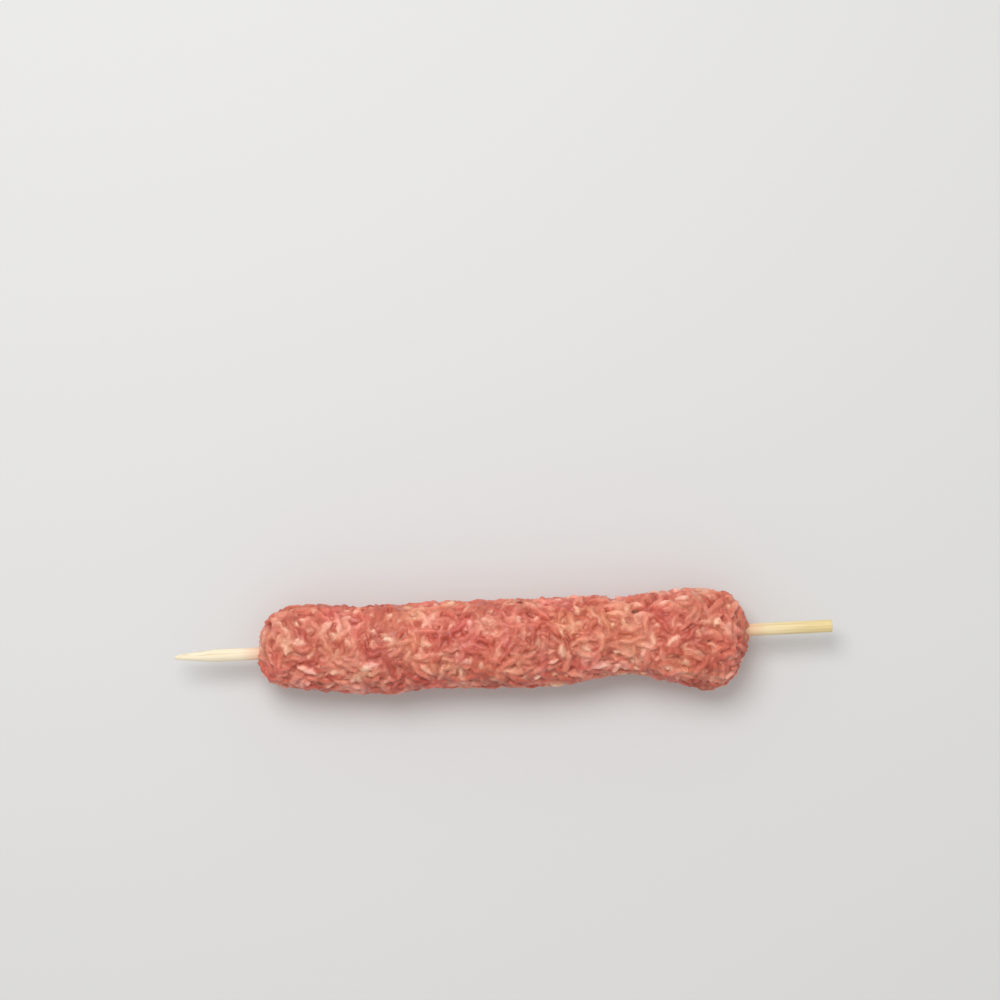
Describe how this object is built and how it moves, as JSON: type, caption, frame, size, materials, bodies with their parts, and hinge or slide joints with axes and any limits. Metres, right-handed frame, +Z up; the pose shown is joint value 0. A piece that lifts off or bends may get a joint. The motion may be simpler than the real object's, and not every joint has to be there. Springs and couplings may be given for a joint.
{
  "type": "kofta skewer",
  "caption": "Raw minced-meat kofta pressed by hand round a bamboo skewer, an uneven log thicker at its end by the stick's sawn end.",
  "frame": {"origin": "middle of the whole part's footprint, at the height of the surface that it lies on", "axes": "+X along the stick from its point to its sawn end, +Y sideways, towards the top of the picture, +Z up"},
  "size_m": [0.2, 0.0316, 0.0259],
  "materials": {
    "minced_meat": null,
    "bamboo": "pale dry bamboo with fine straight fibres along the stick, matte"
  },
  "bodies": {
    "root": {"kofta_meat": "minced_meat", "bamboo_skewer": "bamboo"}
  },
  "joints": []
}
